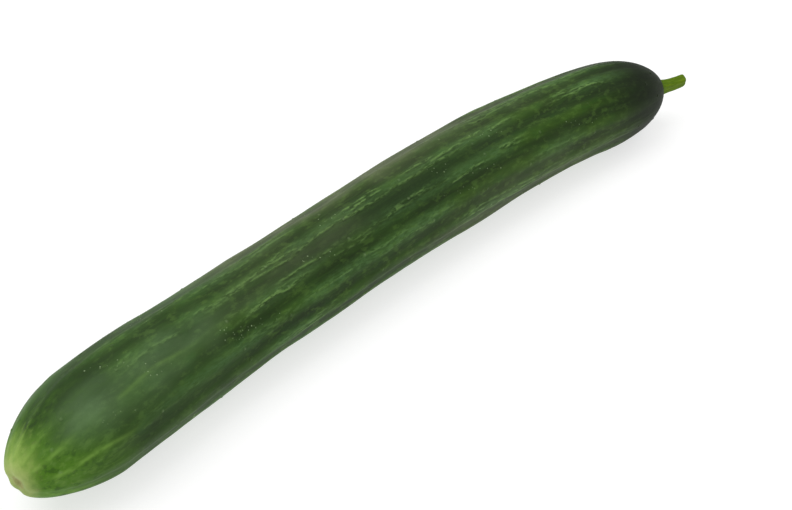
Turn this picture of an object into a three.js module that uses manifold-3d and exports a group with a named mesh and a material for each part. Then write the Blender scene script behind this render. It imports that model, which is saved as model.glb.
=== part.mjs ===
// A whole long green cucumber with its stub of stem, as picked, lying on a table.
// Millimetres, +Z up. +X runs from the blossom end to the stem end. The fruit bows towards +Y,
// and rests on flat spots of its belly at z = 0, under the middle of its own box.
import * as THREE from "three";
import { mergeVertices } from "three/addons/utils/BufferGeometryUtils.js";
import Module from "manifold-3d";

// The fruit, measured along its chord from the blossom scar
const LENGTH = 333.2;
const RADIUS = 19.9;
const BOW = { middle: 14.4, skew: 4.8, ends: 8 };
const SWELLS = [
  { share: 0.031, period: 143, start: 163.6 },
  { share: 0.019, period: 105.3, start: 8.8 },
];
const BLOSSOM_CAP = { length: 32.7, power: 1.61 };
const STEM_CAP = { length: 45.5, power: 2.31 };

// Relief of the skin
const RIDGES = 13;
const RIDGE_PHASE = THREE.MathUtils.degToRad(18.6);
const RIDGE_WANDER = { turn: 0.035, length: 34 };
const RIDGE_HEIGHT = { blossom: 0.5, stem: 0.85, shoulder: 60 };
const LOBES = { count: 5, height: 0.6, fade: 13, phase: 2.2 };
const PUCKER = { height: 0.3, fade: 3 };
const LUMPS = [
  { height: 0.22, length: 19, turns: 2, phase: 1.3 },
  { height: 0.16, length: 11.3, turns: -3, phase: 0.4 },
  { height: 0.1, length: 7.1, turns: 5, phase: 2.1 },
];
const WARTS = { perRidge: 10, radius: 0.75, height: 0.4, root: 0.7, sides: 5, seed: 7 };

// The two ends of the fruit
const SCAR = { radius: 5, depth: 1, rings: [0.4, 0.8, 1], floor: 0 };
const LIP = { height: 1, fade: 2.5 };
const SHOULDER = { rise: 1.2, fade: 6 };
const SOCKET = { radius: 4.7, depth: 0.6, rings: [0.5, 0.9, 1], floor: 0.9 };

// How it lies: the centreline's height follows the body's swells by a share, and droops towards the stem
const LIE = { height: 20.2, follow: 0.52 };
const DROOP = { depth: 3.8, reach: 65 };

// The stem, measured from the socket's floor
const STEM = { length: 15.5, baseRadius: 3.7, waistRadius: 3, tipRadius: 2.6, corner: 1.9 };
const STEM_RIBS = { count: 5, height: 0.22 };
const STEM_BEND = { side: 1.2, up: 1.1 };
const GAP = 0.3;

// Mesh density
const AROUND = RIDGES * 7;
const BODY_STATIONS = 26;
const CAP_STATIONS = 9;
const STEM_AROUND = 30;
const STEM_STATIONS = 9;

const wasm = await Module();
wasm.setup();

// Turns a closed geometry into a solid, with the vertices that coincide merged.
function toSolid(geometry) {
  const bare = new THREE.BufferGeometry().setAttribute("position", geometry.getAttribute("position"));
  if (geometry.index) bare.setIndex(geometry.index);
  const merged = mergeVertices(bare, 1e-4);
  return new wasm.Manifold(
    new wasm.Mesh({
      numProp: 3,
      vertProperties: merged.attributes.position.array,
      triVerts: new Uint32Array(merged.index.array),
    }),
  );
}

// Turns a solid back into a geometry with normals.
function toGeometry(solid) {
  const { vertProperties, triVerts } = solid.getMesh();
  const geometry = new THREE.BufferGeometry()
    .setAttribute("position", new THREE.BufferAttribute(vertProperties, 3))
    .setIndex(new THREE.BufferAttribute(triVerts, 1));
  geometry.computeVertexNormals();
  return geometry;
}

// Closes a row of rings into one skin. Each ring is a list of points, and the ends are single points.
function loft(start, rings, end) {
  const count = rings[0].length;
  const points = [start, ...rings.flat(), end];
  const last = points.length - 1;
  const at = (ring, i) => 1 + ring * count + (i % count);
  const faces = [];
  for (let i = 0; i < count; i++) {
    faces.push(0, at(0, i + 1), at(0, i));
    for (let ring = 0; ring + 1 < rings.length; ring++) {
      faces.push(at(ring, i), at(ring, i + 1), at(ring + 1, i));
      faces.push(at(ring, i + 1), at(ring + 1, i + 1), at(ring + 1, i));
    }
    faces.push(last, at(rings.length - 1, i), at(rings.length - 1, i + 1));
  }
  return new THREE.BufferGeometry().setFromPoints(points).setIndex(faces);
}

// A seeded source of numbers from 0 to 1.
function seeded(seed) {
  let state = seed;
  return () => {
    state = (state * 1664525 + 1013904223) % 4294967296;
    return state / 4294967296;
  };
}

const smooth = (x) => x * x * (3 - 2 * x);

// Radius of the body before its ends close, with its slow swells and waists.
function bodyRadius(s) {
  const wave = ({ share, period, start }) => share * Math.sin((2 * Math.PI * (s - start)) / period);
  return RADIUS * (1 + SWELLS.map(wave).reduce((sum, w) => sum + w));
}

// Share of the body's radius that an end cap leaves at a distance from its tip.
function capShare(distance, cap) {
  const left = Math.max(0, 1 - distance / cap.length);
  return Math.sqrt(1 - left ** cap.power);
}

// The blossom end is blunter than its cap by a lip round the scar.
function fruitRadius(s) {
  const lip = LIP.height * Math.exp(-s / LIP.fade);
  return bodyRadius(s) * capShare(s, BLOSSOM_CAP) * capShare(LENGTH - s, STEM_CAP) + lip;
}

// A point of the centreline at chord length s. It arches sideways, and the belly comes down to the table.
function centre(s) {
  const share = (2 * s) / LENGTH - 1;
  const side = (1 - share ** 2) * (BOW.middle + BOW.skew * share + BOW.ends * share ** 2);
  const droop = DROOP.depth * Math.max(0, 1 - (LENGTH - s) / DROOP.reach) ** 2;
  return new THREE.Vector3(s - LENGTH / 2, side, LIE.height + LIE.follow * (bodyRadius(s) - RADIUS) - droop);
}

// The section's plane at s: its centre, its level side direction, its up direction and the way along.
// On the shoulder it sits a little above the centreline, because the stem stands off-centre there.
function section(s) {
  const step = 0.5;
  const along = centre(s + step).sub(centre(s - step)).normalize();
  const side = new THREE.Vector3(0, 0, 1).cross(along).normalize();
  const up = along.clone().cross(side);
  const rise = SHOULDER.rise * Math.exp((s - LENGTH) / SHOULDER.fade);
  return { origin: centre(s).addScaledVector(up, rise), side, up, along };
}

// Angle of the first ridge's crest, which wanders a little along the fruit.
function crestAngle(s) {
  return RIDGE_PHASE + RIDGE_WANDER.turn * Math.sin(s / RIDGE_WANDER.length);
}

// Low rounded ridges, stronger on some sides, that grow towards the stem and fade out over its shoulder.
function ridgeRelief(s, angle) {
  const strength = 0.8 + 0.2 * Math.sin(4 * angle + 1);
  const crest = smooth(0.5 + 0.5 * Math.cos(RIDGES * (angle - crestAngle(s))));
  const height = THREE.MathUtils.lerp(RIDGE_HEIGHT.blossom, RIDGE_HEIGHT.stem, (s / LENGTH) ** 3);
  return strength * crest * height * smooth(Math.min(1, (LENGTH - s) / RIDGE_HEIGHT.shoulder));
}

function lumpRelief(s, angle) {
  return LUMPS.reduce((sum, l) => sum + l.height * Math.sin(s / l.length + l.turns * angle + l.phase), 0);
}

// Puckered lobes that gather round the blossom scar.
function lobeRelief(s, angle) {
  return LOBES.height * Math.exp(-s / LOBES.fade) * Math.cos(LOBES.count * angle - LOBES.phase);
}

// How far the skin is drawn in along the fruit, between the lobes, right at the blossom scar.
function pucker(s, angle, radius) {
  const fade = Math.exp(-s / PUCKER.fade) * Math.min(1, radius / SCAR.radius);
  return PUCKER.height * fade * Math.cos(LOBES.count * angle - LOBES.phase);
}

// A point of the skin. A radius smaller than the fruit's own belongs to the scar or the socket.
function skinPoint(s, angle, radius = fruitRadius(s), sunk = 0) {
  const { origin, side, up, along } = section(s);
  const relief = ridgeRelief(s, angle) + lumpRelief(s, angle) + lobeRelief(s, angle);
  const reach = radius + relief * smooth(Math.min(1, radius / RADIUS));
  return origin
    .addScaledVector(side, reach * Math.cos(angle))
    .addScaledVector(up, reach * Math.sin(angle))
    .addScaledVector(along, sunk - pucker(s, angle, radius));
}

// Chord length at which a cap has a given radius, found by halving, so that rings can be set out by radius.
function chordAt(radius, fromStem) {
  let low = 0;
  let high = 20;
  for (let i = 0; i < 40; i++) {
    const middle = (low + high) / 2;
    const s = fromStem ? LENGTH - middle : middle;
    if (fruitRadius(s) < radius) low = middle;
    else high = middle;
  }
  return fromStem ? LENGTH - low : low;
}

// Rings across a hollow at one end: from its floor out to its rim.
function hollowRings(hollow, fromStem) {
  const rim = chordAt(hollow.radius, fromStem);
  const inwards = fromStem ? -1 : 1;
  return hollow.rings.map((share) => ({
    s: rim,
    radius: hollow.radius * share,
    sunk: inwards * hollow.depth * (1 - smooth(Math.max(0, (share - hollow.floor) / (1 - hollow.floor)))),
  }));
}

function fruitStations() {
  const blossomRim = chordAt(SCAR.radius, false);
  const stemRim = LENGTH - chordAt(SOCKET.radius, true);
  const stations = hollowRings(SCAR, false);
  for (let i = 1; i <= CAP_STATIONS; i++) {
    stations.push({ s: THREE.MathUtils.lerp(blossomRim, BLOSSOM_CAP.length, (i / CAP_STATIONS) ** 2) });
  }
  const bodyEnd = LENGTH - STEM_CAP.length;
  for (let i = 1; i <= BODY_STATIONS; i++) {
    stations.push({ s: THREE.MathUtils.lerp(BLOSSOM_CAP.length, bodyEnd, i / BODY_STATIONS) });
  }
  for (let i = CAP_STATIONS - 1; i >= 1; i--) {
    stations.push({ s: LENGTH - THREE.MathUtils.lerp(stemRim, STEM_CAP.length, (i / CAP_STATIONS) ** 2) });
  }
  return [...stations, ...hollowRings(SOCKET, true).reverse()];
}

function fruitSkin() {
  const stations = fruitStations();
  const rings = stations.map(({ s, radius, sunk }) =>
    Array.from({ length: AROUND }, (_, i) => skinPoint(s, (2 * Math.PI * i) / AROUND, radius, sunk)),
  );
  const tip = (station, hollow, inwards) =>
    section(station.s).origin.addScaledVector(section(station.s).along, inwards * hollow.depth);
  return toSolid(loft(tip(stations[0], SCAR, 1), rings, tip(stations.at(-1), SOCKET, -1)));
}

// One spine base: a small cone set on the skin, with its root sunk in.
function wart(s, angle) {
  const delta = 0.01;
  const foot = skinPoint(s, angle);
  const along = skinPoint(s + delta, angle).sub(foot);
  const round = skinPoint(s, angle + delta).sub(foot);
  const outwards = round.cross(along).normalize();
  const cone = new THREE.ConeGeometry(WARTS.radius, WARTS.height + WARTS.root, WARTS.sides);
  cone.translate(0, (WARTS.height - WARTS.root) / 2, 0);
  const turn = new THREE.Quaternion().setFromUnitVectors(new THREE.Vector3(0, 1, 0), outwards);
  cone.applyQuaternion(turn).translate(foot.x, foot.y, foot.z);
  return toSolid(cone);
}

// The spine bases stand along the crests of the ridges, a jittered pace apart.
function wartSolids() {
  const random = seeded(WARTS.seed);
  const pace = LENGTH / WARTS.perRidge;
  const solids = [];
  for (let ridge = 0; ridge < RIDGES; ridge++) {
    for (let i = 0; i < WARTS.perRidge; i++) {
      const s = pace * (i + 0.25 + 0.5 * random());
      const drift = (random() - 0.5) * 0.5;
      solids.push(wart(s, crestAngle(s) + (2 * Math.PI * (ridge + drift)) / RIDGES));
    }
  }
  return solids;
}

// Everything above the table top.
function aboveTable() {
  const [width, depth, height] = [2 * LENGTH, 4 * LENGTH, 8 * RADIUS];
  return toSolid(new THREE.BoxGeometry(width, depth, height).translate(0, 0, height / 2));
}

function fruitGeometry() {
  const skin = wasm.Manifold.union([fruitSkin(), ...wartSolids()]);
  return toGeometry(skin.intersect(aboveTable()));
}

// Radius along the stem: flared at the foot, waisted, and rounded off at the cut.
function stemRadius(height) {
  const share = height / STEM.length;
  const flare = (STEM.baseRadius - STEM.waistRadius) * (1 - Math.min(1, share / 0.45)) ** 2;
  const shaft = THREE.MathUtils.lerp(STEM.waistRadius, STEM.tipRadius, share) + flare;
  const intoCorner = Math.max(0, height - (STEM.length - STEM.corner)) / STEM.corner;
  return shaft - STEM.corner * (1 - Math.sqrt(1 - Math.min(1, intoCorner) ** 2));
}

// The stem's centreline carries on from the fruit's, and bends a little to the side and up.
function stemGeometry() {
  const { side, up, along } = section(LENGTH);
  const foot = section(chordAt(SOCKET.radius, true)).origin.addScaledVector(along, GAP - SOCKET.depth);
  const middle = (height) =>
    foot
      .clone()
      .addScaledVector(along, height)
      .addScaledVector(side, STEM_BEND.side * (height / STEM.length) ** 2)
      .addScaledVector(up, STEM_BEND.up * (height / STEM.length) ** 2);
  const heights = Array.from({ length: STEM_STATIONS + 1 }, (_, i) =>
    THREE.MathUtils.lerp(0, STEM.length, Math.sin((Math.PI / 2) * (i / STEM_STATIONS))),
  );
  const rings = heights.map((height) =>
    Array.from({ length: STEM_AROUND }, (_, i) => {
      const angle = (2 * Math.PI * i) / STEM_AROUND;
      const radius = stemRadius(height) + STEM_RIBS.height * Math.cos(STEM_RIBS.count * angle);
      return middle(height)
        .addScaledVector(side, radius * Math.cos(angle))
        .addScaledVector(up, radius * Math.sin(angle));
    }),
  );
  return toGeometry(toSolid(loft(middle(0), rings, middle(STEM.length))));
}

const skinMaterial = new THREE.MeshStandardMaterial({ color: 0x35561f, roughness: 0.42, metalness: 0 });
const stemMaterial = new THREE.MeshStandardMaterial({ color: 0x5f8a1f, roughness: 0.6, metalness: 0 });

const fruit = new THREE.Mesh(fruitGeometry(), skinMaterial);
fruit.name = "fruit";

const stem = new THREE.Mesh(stemGeometry(), stemMaterial);
stem.name = "stem";

// The cucumber's own origin is on the table, under the middle of its box.
const cucumber = new THREE.Group();
cucumber.add(fruit, stem);
const middle = new THREE.Box3().setFromObject(cucumber, true).getCenter(new THREE.Vector3());
for (const piece of cucumber.children) piece.position.set(-middle.x, -middle.y, 0);

export default cucumber;
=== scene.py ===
import math

import bpy
import numpy as np
from mathutils import Matrix, Vector


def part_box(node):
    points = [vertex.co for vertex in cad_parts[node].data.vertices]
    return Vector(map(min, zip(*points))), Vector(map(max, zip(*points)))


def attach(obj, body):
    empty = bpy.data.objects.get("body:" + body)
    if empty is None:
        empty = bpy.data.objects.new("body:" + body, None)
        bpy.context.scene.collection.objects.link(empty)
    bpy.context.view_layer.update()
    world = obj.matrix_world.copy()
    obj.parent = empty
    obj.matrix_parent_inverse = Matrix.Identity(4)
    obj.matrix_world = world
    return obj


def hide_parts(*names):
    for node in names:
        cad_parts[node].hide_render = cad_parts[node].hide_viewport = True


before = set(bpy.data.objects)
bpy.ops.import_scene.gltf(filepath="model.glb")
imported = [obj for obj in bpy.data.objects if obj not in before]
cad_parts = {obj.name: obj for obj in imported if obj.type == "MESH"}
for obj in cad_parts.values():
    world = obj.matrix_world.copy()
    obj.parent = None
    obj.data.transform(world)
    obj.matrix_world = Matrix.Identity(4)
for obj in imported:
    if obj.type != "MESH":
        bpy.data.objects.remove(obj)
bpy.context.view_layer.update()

MM = 0.001
TAU = 2 * math.pi

# The fruit, measured along its chord from the blossom scar, as in the solid
LENGTH = 333.2 * MM
RADIUS = 19.9 * MM
BOW_MIDDLE, BOW_SKEW, BOW_ENDS = 14.4 * MM, 4.8 * MM, 8 * MM
SWELLS = ((0.031, 143 * MM, 163.6 * MM), (0.019, 105.3 * MM, 8.8 * MM))
BLOSSOM_CAP, BLOSSOM_POWER = 32.7 * MM, 1.61
STEM_CAP, STEM_POWER = 45.5 * MM, 2.31

# Relief of the skin that the solid has
RIDGES = 13
RIDGE_PHASE = math.radians(18.6)
RIDGE_WANDER, WANDER_LENGTH = 0.035, 34 * MM
RIDGE_AT_BLOSSOM, RIDGE_AT_STEM, SHOULDER = 0.5 * MM, 0.85 * MM, 60 * MM
RIDGE_MEAN, RIDGE_SWING, RIDGE_TURNS = 0.8, 0.2, 4
LOBES, LOBE_HEIGHT, LOBE_FADE, LOBE_PHASE = 5, 0.6 * MM, 13 * MM, 2.2
PUCKER_HEIGHT, PUCKER_FADE = 0.3 * MM, 3 * MM
LUMPS = ((0.22 * MM, 19 * MM, 2, 1.3), (0.16 * MM, 11.3 * MM, -3, 0.4), (0.1 * MM, 7.1 * MM, 5, 2.1))

# The two ends
SCAR_RADIUS, SCAR_DEPTH = 5 * MM, 1 * MM
RIM_DEPTH, RIM_WIDTH = 0.2 * MM, 0.9 * MM
CORK_HEIGHT, CORK_RADIUS, CORK_WIDTH = 0.3 * MM, 2 * MM, 0.55 * MM
END_RINGS, INNER_RING = 15, 0.06
END_REACH, END_STEPS = 20 * MM, 4001
LIP_HEIGHT, LIP_FADE = 1 * MM, 2.5 * MM
RISE, RISE_FADE = 1.2 * MM, 6 * MM
SOCKET_RADIUS, SOCKET_DEPTH = 4.7 * MM, 0.6 * MM

# How it lies on the table
LIE_HEIGHT, LIE_FOLLOW = 20.2 * MM, 0.52
DROOP_DEPTH, DROOP_REACH = 3.8 * MM, 65 * MM

# Wrinkled rows, which only the skin has: start, easing, width, breaks, and the strength of each
ROW_START, ROW_EASE_IN, ROW_EASE_OUT = 28 * MM, 50 * MM, 35 * MM
ROW_WIDTH, ROW_PACE, ROW_SEED = 2.6 * MM, 37 * MM, 31
WRINKLED = (0.5, 0.75, 0.55, 1.0, 1.0, 0.35, 0.6, 0.8, 0.4, 0.7, 0.5, 0.85, 0.6)

# Threads in each row: places across it, size, a wide and a narrow sway, breaks, and the crease beside each,
# which is darkened with painted shade
THREADS = (-1.6 * MM, 0.0, 1.5 * MM)
THREAD_WIDTH, THREAD_HEIGHT, THREAD_SEED = 0.42 * MM, 0.2 * MM, 40
SWAY, SWAY_PACE = 0.8 * MM, 9 * MM
WAVER, WAVER_PACE = 0.3 * MM, 4 * MM
BREAK_PACE = 15 * MM
CREASE_APART, CREASE_WIDTH = 0.75 * MM, 1.2 * THREAD_WIDTH

# Shallow dimples
DIMPLE_HEIGHT, DIMPLE_PACE, DIMPLES_AROUND, DIMPLE_SEED = 0.1 * MM, 8 * MM, 26, 9

# Pale veins that run out from the blossom scar: angle, start, end and strength of each
VEINS = (
    (math.radians(158), 6 * MM, 42 * MM, 0.9),
    (math.radians(129), 2 * MM, 24 * MM, 1.0),
    (math.radians(125), 36 * MM, 84 * MM, 0.33),
    (math.radians(101), 3 * MM, 20 * MM, 0.5),
    (math.radians(72), 2 * MM, 26 * MM, 0.5),
    (math.radians(20), 3 * MM, 34 * MM, 0.7),
    (math.radians(345), 2 * MM, 22 * MM, 0.5),
    (math.radians(300), 3 * MM, 30 * MM, 0.6),
    (math.radians(245), 2 * MM, 25 * MM, 0.6),
    (math.radians(205), 4 * MM, 28 * MM, 0.6),
)
VEIN_WIDTH, VEIN_EASE, VEIN_FADE = 0.7 * MM, 4 * MM, 0.6
VEIN_WANDER, VEIN_WAVE = 0.03, 5 * MM

# Patches of grey-green wax, partly painted sheen: chord length, angle, half length, half width and strength
# of each
WAX_AND_SHEEN_PATCHES = (
    (50 * MM, math.radians(122), 34 * MM, 8 * MM, 0.75),
    (28 * MM, math.radians(124), 10 * MM, 8 * MM, 0.3),
    (120 * MM, math.radians(112), 40 * MM, 7 * MM, 0.25),
    (158 * MM, math.radians(66), 60 * MM, 6 * MM, 0.45),
    (150 * MM, math.radians(44), 75 * MM, 5 * MM, 0.8),
    (30 * MM, math.radians(42), 14 * MM, 5 * MM, 0.7),
    (70 * MM, math.radians(30), 45 * MM, 12 * MM, 0.5),
    (90 * MM, math.radians(310), 60 * MM, 12 * MM, 0.4),
    (60 * MM, math.radians(235), 40 * MM, 12 * MM, 0.5),
    (230 * MM, math.radians(60), 60 * MM, 12 * MM, 0.35),
    (240 * MM, math.radians(200), 60 * MM, 14 * MM, 0.35),
)

# Patches of deeper green, given in the same way: painted shade on the blossom end's top, painted shadow at 64
# mm and 172 mm, and elsewhere the skin's own mottling
SHADES = (
    (26 * MM, math.radians(84), 15 * MM, 9 * MM, 1.0),
    (20 * MM, math.radians(66), 9 * MM, 6 * MM, 0.8),
    (33 * MM, math.radians(105), 9 * MM, 4 * MM, 0.6),
    (18 * MM, math.radians(118), 5 * MM, 3 * MM, 0.5),
    (64 * MM, math.radians(170), 34 * MM, 8 * MM, 0.5),
    (172 * MM, math.radians(117), 62 * MM, 6 * MM, 1.0),
    (24 * MM, math.radians(195), 14 * MM, 5 * MM, 0.5),
    (30 * MM, math.radians(20), 20 * MM, 9 * MM, 0.5),
    (45 * MM, math.radians(320), 25 * MM, 8 * MM, 0.6),
    (110 * MM, math.radians(60), 40 * MM, 7 * MM, 0.5),
    (35 * MM, math.radians(245), 18 * MM, 8 * MM, 0.5),
    (160 * MM, math.radians(350), 50 * MM, 8 * MM, 0.5),
    (200 * MM, math.radians(270), 50 * MM, 8 * MM, 0.5),
)

# How ragged the patches are
RAGGED, PATCH_PACE, PATCH_CELLS = 0.45, 9 * MM, 26
WAX_AND_SHEEN_SEED, SHADE_SEED = 12, 13

# Spine bases: the large ones by the solid's rule, the tiny ones in clusters, a few of them at set places
SPINES_PER_RIDGE, SPINE_SEED = 10, 7
SPINE_RADIUS, SPINE_HEIGHT = 0.9 * MM, 0.26 * MM
CLUSTERS, SPECKS_PER_CLUSTER, SPECK_SEED = 40, 9, 21
CLUSTER_LENGTH, CLUSTER_TURN, CLUSTER_ARC = 5 * MM, 0.07, 60 * MM
CLUSTERS_FROM, BARE_SHOULDER = 14 * MM, 50 * MM
SPECKS_FROM, SPECKS_TO = 8 * MM, LENGTH - 6 * MM
FIRST_CLUSTERS = (
    (84 * MM, math.radians(140)),
    (92 * MM, math.radians(143)),
    (101 * MM, math.radians(148)),
    (52 * MM, math.radians(122)),
    (34 * MM, math.radians(138)),
)
SPECK_RADIUS, SPECK_HEIGHT = 0.4 * MM, 0.12 * MM
DOME_SIDES, DOME_RINGS = 8, (1.0, 0.62, 0.3)
DOME_SINK, DOME_ROOT = 0.03 * MM, 0.5 * MM
FLOOR_CLEARANCE = 0.8 * MM

# The stem, measured from the socket's floor
STEM_LENGTH, STEM_ROOT = 15.5 * MM, 1.6 * MM
STEM_FOOT, STEM_WAIST, STEM_TIP, STEM_CORNER = 3.7 * MM, 3 * MM, 2.6 * MM, 1.9 * MM
STEM_RIBS, STEM_RIB_HEIGHT = 5, 0.22 * MM
STEM_BEND_SIDE, STEM_BEND_UP = 1.2 * MM, 1.1 * MM
STEM_GAP, STEM_DISH = 0.3 * MM, 0.25 * MM
STEM_CORNER_RINGS, STEM_FACE_RINGS = 14, 10
STEM_FLARE, STEM_PATTERN = 0.45, 2.5
COARSE_FIBRE, FINE_FIBRE = 0.05 * MM, 0.03 * MM

# Mesh density
AROUND = RIDGES * 28
STATIONS, CROWDING = 240, 0.115
STEM_AROUND, STEM_STATIONS = 120, 90

# Skin colours, as they show on a screen from 0 to 255
SKIN_DARK, SKIN_LIGHT, SKIN_PATCH = (37, 60, 10), (55, 86, 20), (46, 88, 26)
FURROW_GREEN, STREAK_GREEN, ROW_GREEN = (25, 42, 13), (62, 96, 32), (78, 114, 62)
# The crease green is painted shade in the crease beside each thread
CREASE_SHADE_GREEN, THREAD_GREEN = (20, 38, 10), (122, 160, 86)
YOUNG_GREEN, FLECK_LIGHT, FLECK_DARK = (84, 130, 30), (96, 134, 54), (34, 66, 12)
# The shade green is partly painted shade and shadow, partly mottling
YOUNG_STREAK, VEIN_GREEN, SHADE_GREEN = (122, 160, 66), (122, 164, 66), (24, 48, 10)
BLOSSOM_YELLOW, SCAR_EDGE = (174, 202, 104), (176, 188, 116)
CORK_LIGHT, CORK_DARK = (158, 152, 98), (138, 124, 78)
# The shoulder's dark green is painted shadow
SHOULDER_SHADOW, SPECK_PALE = (18, 27, 11), (176, 200, 150)
# The wax greens are partly painted sheen
WAX_AND_SHEEN_GREEN, WAX_AND_SHEEN_OLIVE = (98, 128, 84), (110, 118, 88)

# Stem colours
STEM_DARK, STEM_LIGHT, STEM_BLOTCH = (80, 110, 4), (103, 132, 8), (112, 138, 30)
STEM_FOOT_GREEN, PITH_GREEN, PITH_PALE = (52, 84, 22), (132, 158, 66), (166, 178, 110)

# The table: half its width in metres, its grey, and the glow that keeps its shadows light
TABLE_REACH = 6.0
TABLE_GREY, TABLE_GLOW = 0.45, 0.67

# Studio light: the room's brightness, then place, aim, size in metres and power in watts of each softbox
ROOM_BRIGHTNESS = 0.4
SOFTBOXES = {
    "overhead_softbox": ((-0.42, 0.55, 1.5), (0.0, 0.0, 0.0), 1.5, 16.0),
    "sheen_softbox": ((0.58, -0.26, 1.2), (-0.13, 0.0, 0.0), 1.0, 4.0),
}

# The camera, as fitted to the photograph: angles in degrees, lens and sensor in millimetres
CAMERA_PLACE = (-280.85 * MM, -308.1 * MM, 383.2 * MM)
CAMERA_AZIMUTH, CAMERA_PITCH = -43.07, 42.0
CAMERA_LENS, SENSOR = 63.64, 36.0


def smooth(x):
    """Eases x from 0 to 1 as 3x^2 - 2x^3, and holds it flat outside."""
    x = np.clip(x, 0.0, 1.0)
    return x * x * (3 - 2 * x)


def body_radius(s):
    """The body's radius: the mean radius times one plus two slow sines, its swells and waists."""
    return RADIUS * (1 + sum(share * np.sin(TAU * (s - start) / period) for share, period, start in SWELLS))


def cap_share(distance, length, power):
    """The share of radius left at a distance from a tip: the root of 1 - (1 - distance / length)^power."""
    return np.sqrt(1 - np.maximum(0, 1 - distance / length) ** power)


def fruit_radius(s):
    """The body's radius times the shares that its two caps leave, plus a lip that fades from the scar."""
    blossom = cap_share(np.maximum(s, 0), BLOSSOM_CAP, BLOSSOM_POWER)
    stem = cap_share(np.maximum(LENGTH - s, 0), STEM_CAP, STEM_POWER)
    return body_radius(s) * blossom * stem + LIP_HEIGHT * np.exp(-np.maximum(s, 0) / LIP_FADE)


def centreline(s):
    """The centreline at chord length s: a bow to the side, and a height that lets the belly touch down."""
    share = 2 * s / LENGTH - 1
    side = (1 - share**2) * (BOW_MIDDLE + BOW_SKEW * share + BOW_ENDS * share**2)
    droop = DROOP_DEPTH * np.maximum(0, 1 - (LENGTH - s) / DROOP_REACH) ** 2
    height = LIE_HEIGHT + LIE_FOLLOW * (body_radius(s) - RADIUS) - droop
    return np.stack([s - LENGTH / 2, side, height], axis=-1)


def unit(v):
    """Vectors brought to length 1."""
    return v / np.linalg.norm(v, axis=-1, keepdims=True)


def section(s):
    """The section at s: its level side direction, its up direction and the way along, from a small step."""
    step = 0.5 * MM
    along = unit(centreline(s + step) - centreline(s - step))
    side = unit(np.cross([0.0, 0.0, 1.0], along))
    return side, np.cross(along, side), along


def heart(s):
    """The middle of the section at s: the centreline, raised by an exponential that peaks at the stem."""
    return centreline(s) + section(s)[1] * (RISE * np.exp((s - LENGTH) / RISE_FADE))[..., None]


def crest_angle(s):
    """The angle of the first ridge's crest, which wanders a little along the fruit as a sine."""
    return RIDGE_PHASE + RIDGE_WANDER * np.sin(s / WANDER_LENGTH)


def crest_of(s, angle):
    """Height up a ridge, 0 in a furrow and 1 on a crest: an eased cosine of the turn from the first crest."""
    return smooth(0.5 + 0.5 * np.cos(RIDGES * (angle - crest_angle(s))))


def lattice_noise(s, angle, pace, cells, seed):
    """Seeded values from -1 to 1 on a lattice, a row each pace and so many cells around, eased between."""
    rows = int(LENGTH / pace) + 4
    values = np.random.default_rng(seed).uniform(-1, 1, (rows, cells))
    u = np.clip(s / pace + 1, 0, rows - 2)
    v = angle / TAU * cells
    i, j = np.floor(u).astype(int), np.floor(v).astype(int)
    along, across = smooth(u - i), smooth(v - j)
    near = values[i, j % cells] * (1 - across) + values[i, (j + 1) % cells] * across
    far = values[i + 1, j % cells] * (1 - across) + values[i + 1, (j + 1) % cells] * across
    return near * (1 - along) + far * along


def ridge_noise(s, ridge, pace, seed):
    """Seeded values from -1 to 1 along each ridge, one each pace, eased between."""
    rows = int(LENGTH / pace) + 4
    values = np.random.default_rng(seed).uniform(-1, 1, (rows, RIDGES))
    u = np.clip(s / pace + 1, 0, rows - 2)
    i = np.floor(u).astype(int)
    near, far = values[i, ridge % RIDGES], values[i + 1, ridge % RIDGES]
    return near + (far - near) * smooth(u - i)


def wrinkles_of(s, angle):
    """Wrinkled rows on the crests: in each, wavy threads with a pale bell across and a dark one beside it,
    the crease and its painted shade.
    """
    turn = RIDGES * (angle - crest_angle(s)) / TAU
    ridge = np.round(turn).astype(int)
    offset = (turn - ridge) * TAU / RIDGES * RADIUS
    ends = smooth((s - ROW_START) / ROW_EASE_IN) * smooth((LENGTH - s) / ROW_EASE_OUT)
    slow = ridge_noise(s, ridge, ROW_PACE, ROW_SEED)
    rows = ends * smooth(0.55 + 1.3 * slow) * np.exp(-((offset / ROW_WIDTH) ** 2))
    pale, dark = np.zeros_like(s), np.zeros_like(s)
    for number, middle in enumerate(THREADS):
        seed = THREAD_SEED + 10 * number
        waver = WAVER * ridge_noise(s, ridge, WAVER_PACE, seed + 1)
        sway = SWAY * ridge_noise(s, ridge, SWAY_PACE, seed) + waver
        shown = smooth(0.6 + 1.6 * ridge_noise(s, ridge, BREAK_PACE, seed + 2))
        apart = offset - middle - sway
        pale = pale + shown * np.exp(-((apart / THREAD_WIDTH) ** 2))
        dark = dark + shown * np.exp(-(((apart - CREASE_APART) / CREASE_WIDTH) ** 2))
    strength = ends * np.array(WRINKLED)[ridge % RIDGES] * smooth(0.7 + slow)
    return rows, np.minimum(pale, 1) * strength, np.minimum(dark, 1) * strength


def relief(s, angle):
    """Ridges, slow lumps and blossom lobes as in the solid, plus wrinkles and shallow dimples."""
    strength = RIDGE_MEAN + RIDGE_SWING * np.sin(RIDGE_TURNS * angle + 1)
    height = RIDGE_AT_BLOSSOM + (RIDGE_AT_STEM - RIDGE_AT_BLOSSOM) * (s / LENGTH) ** 3
    ridge = strength * crest_of(s, angle) * height * smooth((LENGTH - s) / SHOULDER)
    lumps = sum(swell * np.sin(s / length + turns * angle + phase) for swell, length, turns, phase in LUMPS)
    lobes = LOBE_HEIGHT * np.exp(-s / LOBE_FADE) * np.cos(LOBES * angle - LOBE_PHASE)
    dimples = DIMPLE_HEIGHT * lattice_noise(s, angle, DIMPLE_PACE, DIMPLES_AROUND, DIMPLE_SEED)
    _, pale, dark = wrinkles_of(s, angle)
    return ridge + lumps + lobes + dimples + THREAD_HEIGHT * (0.7 * pale - dark)


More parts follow.
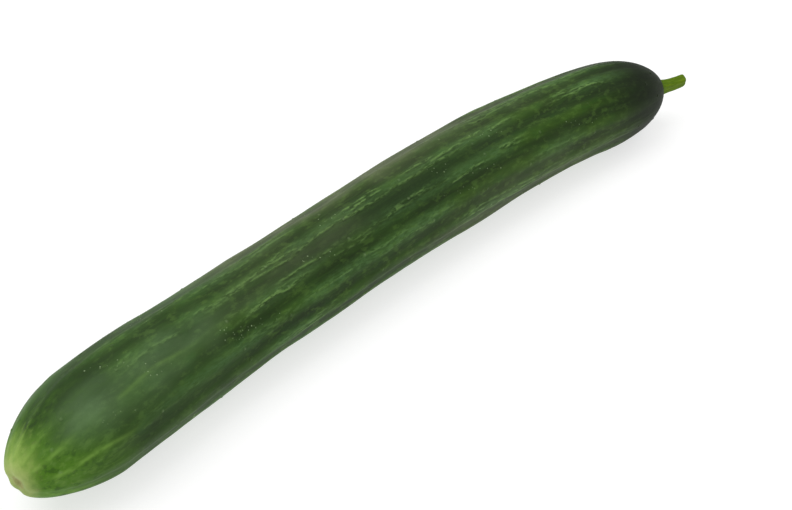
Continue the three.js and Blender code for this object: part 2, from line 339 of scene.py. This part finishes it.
def vein_of(s, angle):
    """The pale veins: for each, a bell across its width, eased in at its start and out at its end."""
    total = np.zeros_like(s)
    for middle, start, end, strength in VEINS:
        turn = angle - middle - VEIN_WANDER * np.sin(s / VEIN_WAVE)
        apart = (np.mod(turn + math.pi, TAU) - math.pi) * fruit_radius(s)
        along = smooth((s - start) / VEIN_EASE) * smooth((end - s) / (VEIN_FADE * (end - start)))
        total = total + strength * along * np.exp(-((apart / VEIN_WIDTH) ** 2))
    return np.minimum(total, 1)


def patches_of(table, s, angle, seed):
    """A table's patches: for each, a bell along and across, ragged by slow noise."""
    total = np.zeros_like(s)
    for place, middle, length, width, strength in table:
        apart = (np.mod(angle - middle + math.pi, TAU) - math.pi) * RADIUS
        total = total + strength * np.exp(-(((s - place) / length) ** 4) - (apart / width) ** 2)
    return np.clip(total * (1 + RAGGED * lattice_noise(s, angle, PATCH_PACE, PATCH_CELLS, seed)), 0, 1)


def skin(s, angle, radius=None, sunk=0.0):
    """A point of the skin: radius and relief out from the section's middle, puckered, and flat at z = 0."""
    radius = fruit_radius(s) if radius is None else radius
    side, up, along = section(s)
    reach = (radius + relief(s, angle) * smooth(radius / RADIUS))[..., None]
    cos, sin = np.cos(angle)[..., None], np.sin(angle)[..., None]
    fade = np.exp(-s / PUCKER_FADE) * np.minimum(1, radius / SCAR_RADIUS)
    drawn = sunk - PUCKER_HEIGHT * fade * np.cos(LOBES * angle - LOBE_PHASE)
    points = heart(s) + reach * (cos * side + sin * up) + drawn[..., None] * along
    points[..., 2] = np.maximum(points[..., 2], 0)
    return points


def chord_at(radius, from_stem):
    """The chord length at which an end has a radius, read off a fine table of that end."""
    distance = np.linspace(0, END_REACH, END_STEPS)
    s = LENGTH - distance if from_stem else distance
    found = np.interp(radius, fruit_radius(s), distance)
    return LENGTH - found if from_stem else found


def closed_surface(grid, start, end):
    """Vertices and faces of rows of rings, stations by around, closed by a point at each end."""
    stations, around = grid.shape[:2]
    vertices = np.concatenate([start[None], grid.reshape(-1, 3), end[None]])
    ring, i = np.meshgrid(np.arange(stations - 1), np.arange(around), indexing="ij")
    a = 1 + ring * around + i
    b = 1 + ring * around + (i + 1) % around
    quads = np.stack([a, b, b + around, a + around], axis=-1).reshape(-1, 4)
    i = np.arange(around)
    first = np.stack([np.zeros_like(i), 1 + (i + 1) % around, 1 + i], axis=-1)
    last_ring = 1 + (stations - 1) * around
    tip = np.full_like(i, len(vertices) - 1)
    last = np.stack([tip, last_ring + i, last_ring + (i + 1) % around], axis=-1)
    return vertices, quads, np.concatenate([first, last])


def make_mesh(name, vertices, quads, triangles, attributes):
    """An object of quads and triangles, smooth-shaded, with a named attribute for each point."""
    mesh = bpy.data.meshes.new(name)
    corners = np.concatenate([quads.ravel(), triangles.ravel()]).astype(np.int32)
    sizes = np.concatenate([np.full(len(quads), 4), np.full(len(triangles), 3)]).astype(np.int32)
    starts = np.concatenate([[0], np.cumsum(sizes)[:-1]]).astype(np.int32)
    mesh.vertices.add(len(vertices))
    mesh.vertices.foreach_set("co", vertices.astype(np.float32).ravel())
    mesh.loops.add(len(corners))
    mesh.loops.foreach_set("vertex_index", corners)
    mesh.polygons.add(len(sizes))
    mesh.polygons.foreach_set("loop_start", starts)
    mesh.polygons.foreach_set("use_smooth", np.ones(len(sizes), dtype=bool))
    mesh.update(calc_edges=True)
    for key, values in attributes.items():
        if values.ndim == 2:
            layer = mesh.attributes.new(key, "FLOAT_VECTOR", "POINT")
            layer.data.foreach_set("vector", values.astype(np.float32).ravel())
        else:
            layer = mesh.attributes.new(key, "FLOAT", "POINT")
            layer.data.foreach_set("value", values.astype(np.float32))
    piece = bpy.data.objects.new(name, mesh)
    bpy.context.scene.collection.objects.link(piece)
    return piece


def skin_attributes(s, angle, paleness, radius=None):
    """For each point: where it grew in millimetres, on a fruit laid straight, and the marks that it bears,
    with painted shade and painted sheen among them.
    """
    radius = fruit_radius(s) if radius is None else radius
    grown = np.stack([s, radius * np.cos(angle), radius * np.sin(angle)], axis=-1) / MM
    rows, pale, dark = wrinkles_of(s, angle)
    lines = {"rows": rows, "thread": pale, "crease_shade": dark, "vein": vein_of(s, angle)}
    wax_and_sheen, shade = patches_of(WAX_AND_SHEEN_PATCHES, s, angle, WAX_AND_SHEEN_SEED), patches_of(SHADES, s, angle, SHADE_SEED)
    scar = np.maximum(0, 1 - radius / SCAR_RADIUS) * (s < LENGTH / 2)
    patches = {"crest": crest_of(s, angle), "wax_and_sheen": wax_and_sheen, "shade": shade}
    return {"grown": grown, "paleness": paleness, "scar": scar, **lines, **patches}


def fruit_rows():
    """Chord length, radius and sunk depth of each ring: scar with its rim and corky ring, skin, socket."""
    scar, socket = chord_at(SCAR_RADIUS, False), chord_at(SOCKET_RADIUS, True)
    share = np.linspace(INNER_RING, 1, END_RINGS)
    hollow = 1 - smooth(share)
    u = np.linspace(0, 1, STATIONS)[1:-1]
    spread = u - CROWDING * np.sin(TAU * u)
    body = scar + (socket - scar) * spread
    s = np.concatenate([np.full(END_RINGS, scar), body, np.full(END_RINGS, socket)])
    radius = np.concatenate([SCAR_RADIUS * share, fruit_radius(body), SOCKET_RADIUS * share[::-1]])
    rim = RIM_DEPTH * np.exp(-(((radius - SCAR_RADIUS) / RIM_WIDTH) ** 2))
    cork = CORK_HEIGHT * np.exp(-(((radius - CORK_RADIUS) / CORK_WIDTH) ** 2))
    sunk = np.concatenate([SCAR_DEPTH * hollow, np.zeros_like(body), -SOCKET_DEPTH * hollow[::-1]])
    return s, radius, sunk + (rim - cork) * (s < LENGTH / 2)


def fruit_skin():
    """The whole skin, one closed surface from the scar's floor to the socket's floor."""
    s, radius, sunk = fruit_rows()
    angle = np.arange(AROUND) / AROUND * TAU
    s_grid, angle_grid = np.meshgrid(s, angle, indexing="ij")
    radius_grid = np.broadcast_to(radius[:, None], s_grid.shape)
    grid = skin(s_grid, angle_grid, radius_grid, sunk[:, None])
    ends = np.array([s[0], s[-1]])
    tips = heart(ends) + section(ends)[2] * np.array([[SCAR_DEPTH], [-SOCKET_DEPTH]])
    vertices, quads, triangles = closed_surface(grid, tips[0], tips[1])
    s_all = np.concatenate([ends[:1], s_grid.ravel(), ends[1:]])
    angle_all = np.concatenate([[0], angle_grid.ravel(), [0]])
    radius_all = np.concatenate([[0], radius_grid.ravel(), [0]])
    return vertices, quads, triangles, skin_attributes(s_all, angle_all, np.zeros(len(s_all)), radius_all)


def seeded_run(seed, count):
    """The solid's own seeded run of numbers from 0 to 1."""
    state, run = seed, []
    for _ in range(count):
        state = (state * 1664525 + 1013904223) % 4294967296
        run.append(state / 4294967296)
    return np.array(run)


def spine_places():
    """Chord lengths and angles of the large spine bases, by the solid's rule: on the crests, jittered."""
    run = seeded_run(SPINE_SEED, 2 * RIDGES * SPINES_PER_RIDGE).reshape(RIDGES, SPINES_PER_RIDGE, 2)
    ridge, place = np.meshgrid(np.arange(RIDGES), np.arange(SPINES_PER_RIDGE), indexing="ij")
    s = LENGTH / SPINES_PER_RIDGE * (place + 0.25 + 0.5 * run[..., 0])
    turn = TAU / RIDGES * (ridge + 0.5 * (run[..., 1] - 0.5))
    return s.ravel(), (crest_angle(s) + turn).ravel()


def speck_places():
    """Chord lengths, angles and sizes of the tiny specks, in loose clusters that each lie on an arc."""
    random = np.random.default_rng(SPECK_SEED)
    s = random.uniform(CLUSTERS_FROM, LENGTH - BARE_SHOULDER, CLUSTERS)[:, None]
    angle = random.uniform(0, TAU, CLUSTERS)[:, None]
    first = len(FIRST_CLUSTERS)
    s[:first, 0], angle[:first, 0] = np.transpose(FIRST_CLUSTERS)
    along = random.normal(0, CLUSTER_LENGTH, (CLUSTERS, SPECKS_PER_CLUSTER))
    across = random.normal(0, CLUSTER_TURN, (CLUSTERS, SPECKS_PER_CLUSTER))
    size = random.uniform(0.5, 1.15, (CLUSTERS, SPECKS_PER_CLUSTER))
    s, angle = s + along, angle + across + along / CLUSTER_ARC
    return np.clip(s, SPECKS_FROM, SPECKS_TO).ravel(), angle.ravel(), size.ravel()


def domes(s, angle, radius, height, paleness):
    """Low domes: patches of skin raised by height * (1 - eased distance), each closed by a point below."""
    share = np.array(DOME_RINGS)
    theta = np.arange(DOME_SIDES) / DOME_SIDES * TAU
    spread = radius[:, None, None] * share[None, :, None]
    ds = spread * np.cos(theta)
    da = spread * np.sin(theta) / fruit_radius(s)[:, None, None]
    s_grid, angle_grid = s[:, None, None] + ds, angle[:, None, None] + da
    foot = skin(s, angle)
    step = 0.4 * MM
    outward = unit(np.cross(skin(s, angle + step / RADIUS) - foot, skin(s + step, angle) - foot))
    raised = height[:, None] * (1 - smooth(share)) - DOME_SINK
    grid = skin(s_grid, angle_grid) + raised[:, :, None, None] * outward[:, None, None, :]
    below = foot - DOME_ROOT * outward
    above = foot + (height - DOME_SINK)[:, None] * outward
    count = 2 + len(DOME_RINGS) * DOME_SIDES
    vertices = np.concatenate([below[:, None], grid.reshape(len(s), -1, 3), above[:, None]], axis=1)
    _, quads, triangles = closed_surface(grid[0], below[0], above[0])
    offset = (np.arange(len(s)) * count)[:, None, None]
    pale = paleness[:, None] * np.concatenate([[0], (1 - share).repeat(DOME_SIDES) ** 1.2, [1]])
    s_all = np.concatenate([s[:, None], s_grid.reshape(len(s), -1), s[:, None]], axis=1)
    angle_all = np.concatenate([angle[:, None], angle_grid.reshape(len(s), -1), angle[:, None]], axis=1)
    attributes = skin_attributes(s_all.ravel(), angle_all.ravel(), pale.ravel())
    quads, triangles = (quads + offset).reshape(-1, 4), (triangles + offset).reshape(-1, 3)
    return vertices.reshape(-1, 3), quads, triangles, attributes


def spine_bases():
    """The large spine bases and tiny specks, one set of domes, with none where the belly is pressed flat."""
    random = np.random.default_rng(SPECK_SEED + 1)
    large_s, large_angle = spine_places()
    small_s, small_angle, size = speck_places()
    s, angle = np.concatenate([large_s, small_s]), np.concatenate([large_angle, small_angle])
    large = np.ones_like(large_s)
    radius = np.concatenate([SPINE_RADIUS * large, SPECK_RADIUS * size])
    height = np.concatenate([SPINE_HEIGHT * large, SPECK_HEIGHT * size])
    faint = random.uniform(0.0, 0.25, len(large_s)) * (large_s < LENGTH - BARE_SHOULDER)
    paleness = np.concatenate([faint, random.uniform(0.3, 1.0, len(small_s)) ** 1.3])
    clear = skin(s, angle)[:, 2] > FLOOR_CLEARANCE
    return domes(*(values[clear] for values in (s, angle, radius, height, paleness)))


def stem_radius(height):
    """The stem's radius: a flared foot, a straight taper, and a quarter-round corner at the cut."""
    share = np.clip(height / STEM_LENGTH, 0, 1)
    flare = (STEM_FOOT - STEM_WAIST) * (1 - np.minimum(1, share / STEM_FLARE)) ** 2
    shaft = STEM_WAIST + (STEM_TIP - STEM_WAIST) * share + flare
    into_corner = np.clip((height - STEM_LENGTH + STEM_CORNER) / STEM_CORNER, 0, 1)
    return shaft - STEM_CORNER * (1 - np.sqrt(1 - into_corner**2))


def stem_skin():
    """The stem from its root in the fruit to its cut: a bent centreline and a ribbed, fibrous section."""
    socket = np.array([chord_at(SOCKET_RADIUS, True)])
    side, up, along = (v[0] for v in section(np.array([LENGTH])))
    floor = heart(socket)[0] + (STEM_GAP - SOCKET_DEPTH) * section(socket)[2][0]
    wall = np.linspace(-STEM_ROOT, STEM_LENGTH - STEM_CORNER, STEM_STATIONS)
    corner = STEM_LENGTH - STEM_CORNER * (1 - np.sin(np.linspace(0.06, 1, STEM_CORNER_RINGS) * math.pi / 2))
    face = np.linspace(0.9, 0.1, STEM_FACE_RINGS)
    cut_height = np.full(STEM_FACE_RINGS, STEM_LENGTH)
    height = np.concatenate([wall, corner, cut_height])
    radius = np.concatenate([stem_radius(wall), stem_radius(corner), stem_radius(cut_height) * face])
    height = height - np.concatenate([np.zeros(len(wall) + len(corner)), STEM_DISH * (1 - face**2)])
    angle = np.arange(STEM_AROUND) / STEM_AROUND * TAU
    h, a = np.meshgrid(height, angle, indexing="ij")
    coarse = COARSE_FIBRE * np.sin(17 * a + 2 * np.sin(h / (3 * MM)))
    fibres = coarse + FINE_FIBRE * np.sin(41 * a + h / (2 * MM))
    grooves = STEM_RIB_HEIGHT * np.cos(STEM_RIBS * a) + fibres
    ribbed = radius[:, None] + grooves * (radius / STEM_WAIST)[:, None]
    bend = (np.clip(height, 0, None) / STEM_LENGTH)[:, None] ** 2
    middle = floor + height[:, None] * along + STEM_BEND_SIDE * bend * side + STEM_BEND_UP * bend * up
    spokes = np.cos(a)[..., None] * side + np.sin(a)[..., None] * up
    grid = middle[:, None] + ribbed[..., None] * spokes
    vertices, quads, triangles = closed_surface(grid, middle[0], middle[-1])
    share = np.concatenate([np.ones(len(wall) + len(corner)), face])
    around = share[:, None] * np.cos(a) * STEM_PATTERN, share[:, None] * np.sin(a) * STEM_PATTERN
    across = np.stack([h / MM, *around], axis=-1)
    start, end = [[-STEM_ROOT / MM, 0, 0]], [[STEM_LENGTH / MM, 0, 0]]
    grown = np.concatenate([start, across.reshape(-1, 3), end])
    cut = np.concatenate([[0], (1 - share).repeat(STEM_AROUND), [1]])
    return vertices, quads, triangles, {"grown": grown, "cut": cut}


class Field:
    """A number that varies over a surface: it wraps a socket, and each operator adds its Math node."""

    def __init__(self, recipe, socket):
        self.recipe = recipe
        self.socket = socket

    def math(self, operation, *values):
        inputs = dict(enumerate(values))
        return self.recipe.node("ShaderNodeMath", {"operation": operation}, inputs)

    def __add__(self, other):
        return self.math("ADD", self, other)

    def __sub__(self, other):
        return self.math("SUBTRACT", self, other)

    def __rsub__(self, other):
        return self.math("SUBTRACT", other, self)

    def __mul__(self, other):
        return self.math("MULTIPLY", self, other)

    __radd__ = __add__
    __rmul__ = __mul__

    def between(self, low, high):
        """0 below low, 1 above high, and eased from one to the other."""
        settings = {"interpolation_type": "SMOOTHSTEP"}
        return self.recipe.node("ShaderNodeMapRange", settings, {0: self, 1: low, 2: high, 3: 0.0, 4: 1.0})


class Recipe:
    """One material and its nodes."""

    def __init__(self, name):
        self.material = bpy.data.materials.new(name)
        self.material.use_nodes = True
        self.tree = self.material.node_tree
        self.tree.nodes.clear()

    def node(self, kind, settings, inputs, output=0):
        """Adds a node: its settings first, then the values or links of its sockets."""
        node = self.tree.nodes.new(kind)
        for key, value in settings.items():
            setattr(node, key, value)
        for key, value in inputs.items():
            if isinstance(value, Field):
                self.tree.links.new(value.socket, node.inputs[key])
            else:
                node.inputs[key].default_value = value
        return Field(self, node.outputs[output]) if node.outputs else None

    def attribute(self, name, output):
        return self.node("ShaderNodeAttribute", {"attribute_name": name}, {}, output)

    def noise(self, vector, stretch, scale, detail=2.0, roughness=0.5):
        """Noise from 0 to 1 on a vector that is first scaled along each of its axes."""
        settings = {"operation": "MULTIPLY"}
        stretched = self.node("ShaderNodeVectorMath", settings, {0: vector, 1: stretch})
        inputs = {"Vector": stretched, "Scale": scale, "Detail": detail, "Roughness": roughness}
        return self.node("ShaderNodeTexNoise", {}, inputs)

    def blend(self, factor, first, second):
        """From the first colour to the second, by the factor."""
        return self.node("ShaderNodeMix", {"data_type": "RGBA"}, {0: factor, 6: first, 7: second}, 2)

    def bump(self, height, distance, strength):
        inputs = {"Height": height, "Distance": distance, "Strength": strength}
        return self.node("ShaderNodeBump", {}, inputs)

    def finish(self, shader_inputs):
        """Ends the recipe in a Principled shader."""
        shader = self.node("ShaderNodeBsdfPrincipled", {}, shader_inputs)
        self.node("ShaderNodeOutputMaterial", {}, {"Surface": shader})
        return self.material


def paint(colour):
    """A colour as it shows on a screen, from 0 to 255, turned into the linear one that a shader takes."""
    shown = np.array(colour) / 255
    linear = np.where(shown <= 0.04045, shown / 12.92, ((shown + 0.055) / 1.055) ** 2.4)
    return (*linear.tolist(), 1.0)


def skin_material():
    """Waxy skin: mottled dark green, pale threads along its wrinkled rows, yellow-green by the scar, with
    painted sheen on the wax, and painted shade in the creases, in patches and on the stem-end shoulder.
    """
    mix = Recipe("cucumber_skin")
    grown = mix.attribute("grown", 1)
    crest = mix.attribute("crest", 2)
    rows = mix.attribute("rows", 2)
    thread = mix.attribute("thread", 2)
    crease_shade = mix.attribute("crease_shade", 2)
    vein = mix.attribute("vein", 2)
    wax_and_sheen = mix.attribute("wax_and_sheen", 2)
    shade = mix.attribute("shade", 2)
    paleness = mix.attribute("paleness", 2)
    scar = mix.attribute("scar", 2)
    s = mix.node("ShaderNodeSeparateXYZ", {}, {0: grown})
    side = mix.node("ShaderNodeSeparateXYZ", {}, {0: grown}, 1)
    up = mix.node("ShaderNodeSeparateXYZ", {}, {0: grown}, 2)

    mottle = mix.noise(grown, (0.4, 1.0, 1.0), 0.1, 3.0, 0.5)
    patch = mix.noise(grown, (0.5, 1.0, 1.0), 0.22, 3.0, 0.6)
    fleck = mix.noise(grown, (0.55, 1.0, 1.0), 0.42, 4.0, 0.62)
    streak = mix.noise(grown, (0.1, 1.0, 1.0), 0.8, 3.0, 0.55)
    beads = mix.noise(grown, (0.28, 1.0, 1.0), 1.2, 2.0, 0.6)
    grain = mix.noise(grown, (0.4, 1.0, 1.0), 2.4, 2.0, 0.6)

    colour = mix.blend(mottle.between(0.36, 0.64), paint(SKIN_DARK), paint(SKIN_LIGHT))
    colour = mix.blend(patch.between(0.5, 0.72) * 0.5, colour, paint(SKIN_PATCH))
    colour = mix.blend((1 - crest) * (0.46 + s.between(40.0, 120.0) * 0.26), colour, paint(FURROW_GREEN))
    colour = mix.blend(streak.between(0.46, 0.72) * 0.3, colour, paint(STREAK_GREEN))
    colour = mix.blend(rows * (0.46 + beads.between(0.4, 0.6) * 0.4), colour, paint(ROW_GREEN))
    # Painted shade in the crease beside each thread
    colour = mix.blend(crease_shade * 0.55, colour, paint(CREASE_SHADE_GREEN))
    colour = mix.blend(thread * beads.between(0.38, 0.58) * 0.9, colour, paint(THREAD_GREEN))

    young = 1 - (s + (patch - 0.5) * 20 + (streak - 0.5) * 6 + up * 0.25).between(4.0, 44.0)
    colour = mix.blend(young * 0.9, colour, paint(YOUNG_GREEN))
    colour = mix.blend(fleck.between(0.5, 0.66) * (0.25 + young * 0.3), colour, paint(FLECK_LIGHT))
    colour = mix.blend((1 - fleck.between(0.36, 0.5)) * (0.3 + young * 0.25), colour, paint(FLECK_DARK))
    colour = mix.blend(streak.between(0.5, 0.68) * young * 0.35, colour, paint(YOUNG_STREAK))
    colour = mix.blend(vein * patch.between(0.25, 0.5) * 0.85, colour, paint(VEIN_GREEN))
    # Deeper green patches: painted shade and shadow in places, elsewhere mottling
    colour = mix.blend(shade * (0.3 + fleck.between(0.35, 0.6) * 0.5), colour, paint(SHADE_GREEN))
    pale = 1 - (s + (fleck - 0.5) * 8 + (mottle - 0.5) * 8 - up * 0.4 - side * 0.25).between(-5.0, 7.0)
    colour = mix.blend(pale * 0.95, colour, paint(BLOSSOM_YELLOW))
    colour = mix.blend((1 - (s + (fleck - 0.5) * 3).between(0.6, 4.5)) * 0.6, colour, paint(SCAR_EDGE))
    colour = mix.blend((scar + (beads - 0.5) * 0.3).between(0.35, 0.6) * 0.6, colour, paint(CORK_LIGHT))
    colour = mix.blend((scar + (fleck - 0.5) * 0.4).between(0.68, 0.84) * 0.4, colour, paint(CORK_DARK))
    # Painted shadow, darkening the shoulder towards the stem
    colour = mix.blend((s + patch * 6).between(284.0, 322.0) * 0.9, colour, paint(SHOULDER_SHADOW))
    # Grey-green wax patches, partly painted sheen
    wax_and_sheen_colour = mix.blend(s.between(70.0, 120.0), paint(WAX_AND_SHEEN_GREEN), paint(WAX_AND_SHEEN_OLIVE))
    colour = mix.blend(wax_and_sheen * (0.45 + fleck * 0.4), colour, wax_and_sheen_colour)
    colour = mix.blend(paleness * 0.85, colour, paint(SPECK_PALE))

    height = streak * 0.5 + beads * rows * 0.6 + fleck * 0.6 + grain * 0.15
    return mix.finish({
        "Base Color": colour,
        "Roughness": 0.5 + mottle * 0.1 + grain * 0.1,
        "Normal": mix.bump(height, 0.14 * MM, 0.8),
        "IOR": 1.26,
    })


def stem_material():
    """Fresh stem: bright green with paler fibres, darker at its foot, and a pale cut."""
    mix = Recipe("cucumber_stem")
    grown = mix.attribute("grown", 1)
    cut = mix.attribute("cut", 2)
    h = mix.node("ShaderNodeSeparateXYZ", {}, {0: grown})
    fibre = mix.noise(grown, (0.1, 1.0, 1.0), 1.6, 3.0, 0.6)
    blotch = mix.noise(grown, (0.4, 1.0, 1.0), 0.4, 2.0, 0.5)
    colour = mix.blend(fibre.between(0.3, 0.7), paint(STEM_DARK), paint(STEM_LIGHT))
    colour = mix.blend(blotch.between(0.5, 0.75) * 0.3, colour, paint(STEM_BLOTCH))
    colour = mix.blend((1 - h.between(-0.5, 4.0)) * 0.6, colour, paint(STEM_FOOT_GREEN))
    colour = mix.blend(cut.between(0.25, 0.5) * 0.7, colour, paint(PITH_GREEN))
    colour = mix.blend(cut.between(0.7, 0.9) * 0.5, colour, paint(PITH_PALE))
    normal = mix.bump(fibre, 0.25 * MM, 0.9)
    roughness = 0.5 + fibre * 0.15
    return mix.finish({"Base Color": colour, "Roughness": roughness, "Normal": normal, "IOR": 1.25})


def table_material():
    """A plain white table, lit from within so that its shadows stay light."""
    mix = Recipe("white_table")
    return mix.finish({
        "Base Color": (TABLE_GREY, TABLE_GREY, TABLE_GREY, 1.0),
        "Roughness": 0.9,
        "Specular IOR Level": 0.1,
        "Emission Color": (1.0, 1.0, 1.0, 1.0),
        "Emission Strength": TABLE_GLOW,
    })


def place_piece(name, surface, shift, material):
    """Makes one piece of the dressed cucumber, which rides with the fruit."""
    vertices, quads, triangles, attributes = surface
    piece = make_mesh(name, vertices + shift, quads, triangles, attributes)
    piece.data.materials.append(material)
    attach(piece, "root")
    return piece


def dress_cucumber():
    """The skin, its spine bases and the stem, shifted level to the middle of the solid fruit's box."""
    low, high = (np.array(corner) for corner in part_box("fruit"))
    surface = fruit_skin()
    shift = (low + high) / 2 - (surface[0].min(axis=0) + surface[0].max(axis=0)) / 2
    shift[2] = 0
    green = skin_material()
    skin_piece = place_piece("cucumber_skin", surface, shift, green)
    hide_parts("fruit")
    place_piece("spine_bases", spine_bases(), shift, green)
    stem_piece = place_piece("cucumber_stem", stem_skin(), shift, stem_material())
    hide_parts("stem")


def lay_table():
    """A wide white floor, which the belly rests on."""
    mesh = bpy.data.meshes.new("table")
    reach = TABLE_REACH
    corners = [(-reach, -reach, 0), (reach, -reach, 0), (reach, reach, 0), (-reach, reach, 0)]
    mesh.from_pydata(corners, [], [(0, 1, 2, 3)])
    table = bpy.data.objects.new("table", mesh)
    bpy.context.scene.collection.objects.link(table)
    mesh.materials.append(table_material())


def softbox(name, place, aim, size, power):
    """A square white light that faces a point."""
    light = bpy.data.lights.new(name, "AREA")
    light.size = size
    light.energy = power
    lamp = bpy.data.objects.new(name, light)
    lamp.location = place
    lamp.rotation_euler = (Vector(aim) - Vector(place)).to_track_quat("-Z", "Y").to_euler()
    bpy.context.scene.collection.objects.link(lamp)


def light_studio():
    """A dim white room, a large softbox above and behind, and a smaller one for the blossom end's sheen."""
    world = bpy.data.worlds.new("white_room")
    world.use_nodes = True
    world.node_tree.nodes["Background"].inputs["Color"].default_value = (1.0, 1.0, 1.0, 1.0)
    world.node_tree.nodes["Background"].inputs["Strength"].default_value = ROOM_BRIGHTNESS
    bpy.context.scene.world = world
    for name, (place, aim, size, power) in SOFTBOXES.items():
        softbox(name, place, aim, size, power)


def place_camera():
    """The camera, from where and how the photograph was taken."""
    data = bpy.data.cameras.new("camera")
    data.lens = CAMERA_LENS
    data.sensor_width = SENSOR
    data.clip_start = 0.01
    camera = bpy.data.objects.new("camera", data)
    turn = Matrix.Rotation(math.radians(CAMERA_AZIMUTH), 4, "Z")
    tilt = Matrix.Rotation(math.radians(90 - CAMERA_PITCH), 4, "X")
    camera.matrix_world = Matrix.Translation(CAMERA_PLACE) @ turn @ tilt
    bpy.context.scene.collection.objects.link(camera)
    bpy.context.scene.camera = camera


dress_cucumber()
lay_table()
light_studio()
place_camera()
bpy.context.scene.view_settings.view_transform = "Standard"
